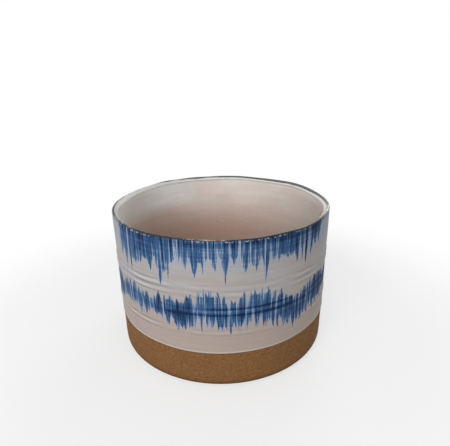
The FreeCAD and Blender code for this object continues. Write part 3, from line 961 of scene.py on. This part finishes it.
class CACHEPOT_OT_clay_pot(bpy.types.Operator):
    """Thrown clay pot: floor, foot ring, bare foot band, wall and lip"""
    bl_idname = "cachepot.clay_pot"
    bl_label = "Clay pot"

    def execute(self, context):
        sizes = context.scene.cachepot_sizes
        foot_radius = clay_radius(sizes.foot_round, sizes)
        ring_outside = foot_radius - sizes.foot_round
        ring_inside = foot_radius - sizes.foot_ring
        recess_round = sizes.foot_recess / 2
        recess_edge = ring_inside - recess_round
        floor_height = FLOOR_Z - FOOT_Z
        round_radius = sizes.floor_round + sizes.coat
        round_height = floor_height + round_radius
        round_centre = (inside_radius(round_height, sizes) + sizes.coat - round_radius,
                        round_height)
        crest = crest_centre(sizes)
        corner = corner_centre(sizes)
        clay_crest = sizes.crest_radius - sizes.coat
        outline = [(radius, sizes.foot_recess) for radius in rows(0, recess_edge, RECESS_ROW)]
        outline += arc((recess_edge, recess_round), recess_round, 75, 0, 4)
        outline += [(radius, 0) for radius in rows(ring_inside, ring_outside, FOOT_ROW)]
        outline += arc((ring_outside, sizes.foot_round), sizes.foot_round, -82, 0, 9)
        outline += [(clay_radius(height, sizes) + relief(height, OUTSIDE_LINES), height)
                    for height in rows(sizes.foot_round, GLAZE_LINE, CLAY_ROW)[1:]]
        outline += [(clay_radius(height, sizes), height)
                    for height in rows(GLAZE_LINE, crest[1], HIDDEN_ROW)[1:-1]]
        outline += arc(crest, clay_crest, 0, NORMAL_DEGREES, 6)
        outline += arc(corner, clay_crest, NORMAL_DEGREES, 180, 3)
        outline += [(inside_radius(height, sizes) + sizes.coat, height)
                    for height in rows(corner[1], round_height, HIDDEN_ROW)[1:-1]]
        outline += arc(round_centre, round_radius, 0, -90, 8)
        outline.append((0, floor_height))
        piece = spin_outline("clay_pot", outline, sizes, sizes.columns * 3 // 4)
        write_height(piece)
        displace(piece, CLAY_CLOUD, sizes.clay_grain,
                 lambda v: float(height_of(v) < GLAZE_LINE_SHARE
                                 and v.co.xy.length > ring_inside
                                 and v.co.z > FOOT_Z + sizes.coat))
        throw_by_hand(piece, sizes)
        material = bare_clay_material(context.scene.cachepot_colours)
        finish_piece(piece, material, ["clay_body"])
        return {"FINISHED"}


class CACHEPOT_OT_outer_glaze(bpy.types.Operator):
    """White outer glaze with its throwing rings and the two bands of cobalt strokes"""
    bl_idname = "cachepot.outer_glaze"
    bl_label = "Outer glaze and cobalt bands"

    def execute(self, context):
        sizes = context.scene.cachepot_sizes
        crest = crest_centre(sizes)
        start = (clay_radius(GLAZE_LINE, sizes) - sizes.tuck, GLAZE_LINE)
        roll_centre = (clay_radius(GLAZE_LINE, sizes), GLAZE_LINE + sizes.coat)
        outline = [start] + arc(roll_centre, sizes.coat, -80, -10, 4)
        for height in wall_rows(roll_centre[1], crest[1], sizes):
            swell = sizes.glaze_bead * bump(height, GLAZE_LINE + 2 * sizes.coat, 4 * sizes.coat)
            fade = min(1.0, (crest[1] - height) / sizes.ring_width)
            lines = (ring_relief(height, sizes) + relief(height, OUTSIDE_LINES)) * fade
            outline.append((clay_radius(height, sizes) + sizes.coat + swell + lines, height))
        outline += arc(crest, sizes.crest_radius, 8, RIM_LINE_DEGREES[0], 6)
        outline += arc(crest, sizes.crest_radius - sizes.coat - sizes.tuck,
                       RIM_LINE_DEGREES[0], 0, 3)
        piece = spin_outline("outer_glaze_coat", outline + [start], sizes, sizes.columns)
        write_height(piece)
        write_band(piece, "rim_ink", RIM_BAND_FULLNESS, RIM_BAND_GAPS, RIM_CENTRES, RIM_SEED,
                   rim_edge=RIM_BAND_EDGE)
        write_band(piece, "middle_ink", MIDDLE_BAND_FULLNESS, MIDDLE_BAND_GAPS, MIDDLE_CENTRES,
                   MIDDLE_SEED, middle_top=MIDDLE_BAND_TOP, middle_bottom=MIDDLE_BAND_BOTTOM)
        write_tables(piece, crest_ink=CREST_INK, ring_shade=RING_GROOVE_SHADE,
                     low_groove=LOW_GROOVE_INK, high_groove=HIGH_GROOVE_INK)
        throw_by_hand(piece, sizes)
        ridges = [middle / POT_HEIGHT for middle in ring_heights(sizes)]
        half = sizes.ring_width / 2 / POT_HEIGHT
        edges = sorted({round(ridge + side * half, 4) for ridge in ridges for side in (-1, 1)})
        material = outer_glaze_material(context.scene.cachepot_colours, edges, ridges)
        finish_piece(piece, material,
                     ["outer_glaze", "cobalt_rim_band", "cobalt_middle_band"])
        return {"FINISHED"}


class CACHEPOT_OT_lip(bpy.types.Operator):
    """Dark crest line and the white glaze on the lip's bevel"""
    bl_idname = "cachepot.lip"
    bl_label = "Lip"

    def execute(self, context):
        sizes = context.scene.cachepot_sizes
        colours = context.scene.cachepot_colours
        crest = crest_centre(sizes)
        corner = corner_centre(sizes)
        front = sizes.crest_radius
        back = sizes.crest_radius - sizes.coat - sizes.tuck
        outline = arc(crest, front, *RIM_LINE_DEGREES, 9)
        outline += arc(crest, back, *reversed(RIM_LINE_DEGREES), 4)
        line = spin_outline("rim_line_coat", outline + outline[:1], sizes, sizes.columns)
        write_tables(line, crest_ink=CREST_INK)
        throw_by_hand(line, sizes)
        finish_piece(line, crest_line_material(colours), ["rim_line"])
        outline = arc(crest, front, RIM_LINE_DEGREES[1], NORMAL_DEGREES, 3)
        r1, z1 = outline[-1]
        r2, z2 = arc_point(corner, front, NORMAL_DEGREES)
        outline += [(r1 + (r2 - r1) * n / BEVEL_ROWS, z1 + (z2 - z1) * n / BEVEL_ROWS)
                    for n in range(1, BEVEL_ROWS + 1)]
        outline.append(arc_point(corner, back, NORMAL_DEGREES))
        outline += arc(crest, back, NORMAL_DEGREES, RIM_LINE_DEGREES[1], 2)
        lip = spin_outline("lip_glaze_coat", outline + outline[:1], sizes, sizes.columns)
        write_attribute(lip, "bevel_share",
                        [(FOOT_Z + z1 - v.co.z) / (z1 - z2) for v in lip.data.vertices])
        write_tables(lip, bevel_ink=BEVEL_INK, lip_shade=LIP_SHADE)
        throw_by_hand(lip, sizes)
        finish_piece(lip, lip_glaze_material(colours), ["lip_glaze"])
        return {"FINISHED"}


class CACHEPOT_OT_liner(bpy.types.Operator):
    """Warm glaze over the inside wall and floor"""
    bl_idname = "cachepot.liner"
    bl_label = "Liner glaze"

    def execute(self, context):
        sizes = context.scene.cachepot_sizes
        floor_height = FLOOR_Z - FOOT_Z + sizes.coat
        round_height = floor_height + sizes.floor_round
        round_centre = (inside_radius(round_height, sizes) - sizes.floor_round, round_height)
        corner = corner_centre(sizes)
        back = sizes.coat + sizes.tuck
        outline = [(radius, floor_height + relief(radius, INSIDE_LINES) * FLOOR_LINES)
                   for radius in rows(0, round_centre[0], FLOOR_ROW)]
        outline += arc(round_centre, sizes.floor_round, -82, 0, 11)
        for height in rows(round_height, corner[1], LINER_ROW)[1:-1]:
            fade = min(1.0, (corner[1] - height) / sizes.ring_width)
            lines = relief(height, INSIDE_LINES) * fade * LINER_LINES
            outline.append((inside_radius(height, sizes) - lines, height))
        outline += arc(corner, sizes.crest_radius, 180, NORMAL_DEGREES, 5)
        outline += arc(corner, sizes.crest_radius - back, NORMAL_DEGREES, 180, 2)
        outline += arc(round_centre, sizes.floor_round + back, 0, -90, 6)
        outline.append((0, floor_height - back))
        piece = spin_outline("liner_glaze_coat", outline, sizes, sizes.columns // 2)
        write_height(piece)
        write_tables(piece, liner_dull=LINER_PAINTED_SHADE, liner_cool=LINER_PAINTED_LIGHT)
        throw_by_hand(piece, sizes)
        material = liner_glaze_material(context.scene.cachepot_colours)
        finish_piece(piece, material, ["liner_glaze"])
        return {"FINISHED"}


class CACHEPOT_OT_felt_pads(bpy.types.Operator):
    """Self-adhesive felt pads under the foot ring"""
    bl_idname = "cachepot.felt_pads"
    bl_label = "Felt pads"

    def execute(self, context):
        sizes = context.scene.cachepot_sizes
        low, high = (Vector(corner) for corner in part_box(PAD_NODES[0]))
        centre = (low + high) / 2
        thickness = high.z - low.z
        bpy.ops.object.select_all(action="DESELECT")
        bpy.ops.mesh.primitive_cylinder_add(
            vertices=64, radius=(high.x - low.x) / 2, depth=thickness, location=centre)
        pad = bpy.context.object
        bpy.ops.object.transform_apply(location=True, rotation=False, scale=False)
        bpy.ops.object.mode_set(mode="EDIT")
        bpy.ops.mesh.select_mode(type="FACE")
        bpy.ops.mesh.select_all(action="DESELECT")
        bpy.ops.object.mode_set(mode="OBJECT")
        for face in pad.data.polygons:
            face.select = abs(face.normal.z) > 0.5
        bpy.ops.object.mode_set(mode="EDIT")
        for _ in range(3):
            bpy.ops.mesh.inset(thickness=thickness)
        bpy.ops.mesh.select_all(action="SELECT")
        bpy.ops.mesh.subdivide(number_cuts=1)
        bpy.ops.object.mode_set(mode="OBJECT")
        apply_modifier(pad, "edge", "BEVEL", width=thickness / 4, segments=3,
                       angle_limit=math.radians(50))
        displace(pad, FELT_CLOUD, sizes.pad_fuzz, lambda v: float(
            low.z + sizes.pad_fuzz < v.co.z < high.z - sizes.pad_fuzz))
        material = felt_material(context.scene.cachepot_colours)
        for node in PAD_NODES:
            node_low, node_high = (Vector(corner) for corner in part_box(node))
            copy = pad.copy()
            copy.data = pad.data.copy()
            copy.name = node + "_fuzzy"
            copy.data.name = copy.name
            context.collection.objects.link(copy)
            copy.data.transform(Matrix.Translation((node_low + node_high) / 2 - centre))
            finish_piece(copy, material, [node])
        bpy.data.objects.remove(pad)
        return {"FINISHED"}


# The stage: between which distances from the axis the floor fades to white, in metres, and
# the camera's sensor width in millimetres and nearest distance in metres
FLOOR_FADE = (0.16, 0.34)
SENSOR_WIDTH = 36
NEAREST = 0.01


def mix_shaders(share, first, second, output):
    """Shows the first shader where the share is 0 and the second where it is 1."""
    mixed = add(share.id_data, "ShaderNodeMixShader", Fac=share)
    fill(mixed.inputs[1], first.outputs[0])
    fill(mixed.inputs[2], second.outputs[0])
    fill(output.inputs["Surface"], mixed.outputs["Shader"])


class CACHEPOT_OT_stage(bpy.types.Operator):
    """Pale floor, soft lamps in front of and behind the pot, and the camera"""
    bl_idname = "cachepot.stage"
    bl_label = "Stage"

    def execute(self, context):
        stage = context.scene.cachepot_stage
        self.lay_floor(stage)
        self.hang_lamp("key_lamp", stage.key_place, stage.key_power, stage.lamp_size)
        self.hang_lamp("fill_lamp", stage.fill_place, stage.fill_power, stage.lamp_size)
        self.light_room(context, stage)
        self.place_camera(context, stage)
        context.scene.view_settings.view_transform = "Standard"
        return {"FINISHED"}

    def lay_floor(self, stage):
        """A floor that fades to plain white before its edge shows."""
        bpy.ops.object.select_all(action="DESELECT")
        bpy.ops.mesh.primitive_circle_add(
            vertices=96, radius=stage.floor_radius, fill_type="NGON",
            location=(0, 0, -stage.floor_gap))
        floor = bpy.context.object
        floor.name = "floor"
        material, tree, shader = new_material("pale_floor", Base_Color=stage.floor_colour,
                                              Roughness=0.9, Specular_IOR_Level=0.1)
        place = add(tree, "ShaderNodeTexCoord").outputs["Object"]
        distance = add(tree, "ShaderNodeVectorMath", {"operation": "LENGTH"}, Vector=place)
        fade = step(distance.outputs["Value"], *FLOOR_FADE, 1 - stage.floor_bleach)
        seen = add(tree, "ShaderNodeLightPath").outputs["Is Camera Ray"]
        white = add(tree, "ShaderNodeEmission", Color=WHITE, Strength=1.0)
        mix_shaders(times(plus(fade, stage.floor_bleach), seen), shader, white,
                    tree.nodes["Material Output"])
        floor.data.materials.append(material)

    def hang_lamp(self, name, place, power, size):
        bpy.ops.object.light_add(type="AREA", location=place)
        lamp = bpy.context.object
        lamp.name = name
        lamp.data.shape = "DISK"
        lamp.data.size = size
        lamp.data.energy = power
        aim = Vector((0, 0, POT_HEIGHT / 2)) - lamp.location
        lamp.rotation_euler = aim.to_track_quat("-Z", "Y").to_euler()

    def light_room(self, context, stage):
        """Even light on the pot, and plain white where the room itself is seen."""
        world = bpy.data.worlds.new("room")
        context.scene.world = world
        world.use_nodes = True
        tree = world.node_tree
        room = tree.nodes["Background"]
        fill(room.inputs["Color"], WHITE)
        fill(room.inputs["Strength"], stage.world_strength)
        white = add(tree, "ShaderNodeBackground", Color=WHITE, Strength=1.0)
        paths = add(tree, "ShaderNodeLightPath").outputs
        seen = maths("MAXIMUM", paths["Is Camera Ray"], paths["Is Transmission Ray"])
        seen = maths("MAXIMUM", seen, paths["Is Glossy Ray"])
        mix_shaders(seen, room, white, tree.nodes["World Output"])

    def place_camera(self, context, stage):
        """The photograph's own view: turned by yaw, tipped by pitch, then rolled."""
        bpy.ops.object.camera_add()
        camera = bpy.context.object
        camera.name = "photo_camera"
        camera.data.lens = stage.camera_lens
        camera.data.sensor_width = SENSOR_WIDTH
        camera.data.clip_start = NEAREST
        place = Vector((0, -stage.camera_distance, FOOT_Z + stage.camera_height))
        camera.matrix_world = (Matrix.Translation(place)
                               @ Matrix.Rotation(-stage.camera_yaw, 4, "Z")
                               @ Matrix.Rotation(math.pi / 2 - stage.camera_pitch, 4, "X")
                               @ Matrix.Rotation(stage.camera_roll, 4, "Z"))
        context.scene.camera = camera


PIECE_OPERATORS = (
    CACHEPOT_OT_clay_pot,
    CACHEPOT_OT_outer_glaze,
    CACHEPOT_OT_lip,
    CACHEPOT_OT_liner,
    CACHEPOT_OT_felt_pads,
    CACHEPOT_OT_stage,
)


class CACHEPOT_PT_panel(bpy.types.Panel):
    """Every piece of the cachepot, with its sizes and colours"""
    bl_label = "Cachepot"
    bl_idname = "CACHEPOT_PT_panel"
    bl_space_type = "VIEW_3D"
    bl_region_type = "UI"
    bl_category = "Cachepot"

    def draw(self, context):
        layout = self.layout
        for operator in PIECE_OPERATORS:
            layout.operator(operator.bl_idname)
        for group in PROPERTY_GROUPS:
            values = getattr(context.scene, group)
            box = layout.box()
            for name in values.bl_rna.properties.keys():
                if name not in {"rna_type", "name"}:
                    box.prop(values, name)


PROPERTY_GROUPS = {
    "cachepot_sizes": CachepotSizes,
    "cachepot_colours": CachepotColours,
    "cachepot_stage": CachepotStage,
}
CLASSES = (*PROPERTY_GROUPS.values(), *PIECE_OPERATORS, CACHEPOT_PT_panel)


def register():
    for cls in CLASSES:
        bpy.utils.register_class(cls)
    for name, group in PROPERTY_GROUPS.items():
        setattr(bpy.types.Scene, name, bpy.props.PointerProperty(type=group))


def unregister():
    for name in PROPERTY_GROUPS:
        delattr(bpy.types.Scene, name)
    for cls in reversed(CLASSES):
        bpy.utils.unregister_class(cls)


def main():
    register()
    bpy.ops.cachepot.clay_pot()
    bpy.ops.cachepot.outer_glaze()
    bpy.ops.cachepot.lip()
    bpy.ops.cachepot.liner()
    bpy.ops.cachepot.felt_pads()
    bpy.ops.cachepot.stage()


if __name__ == "__main__":
    main()
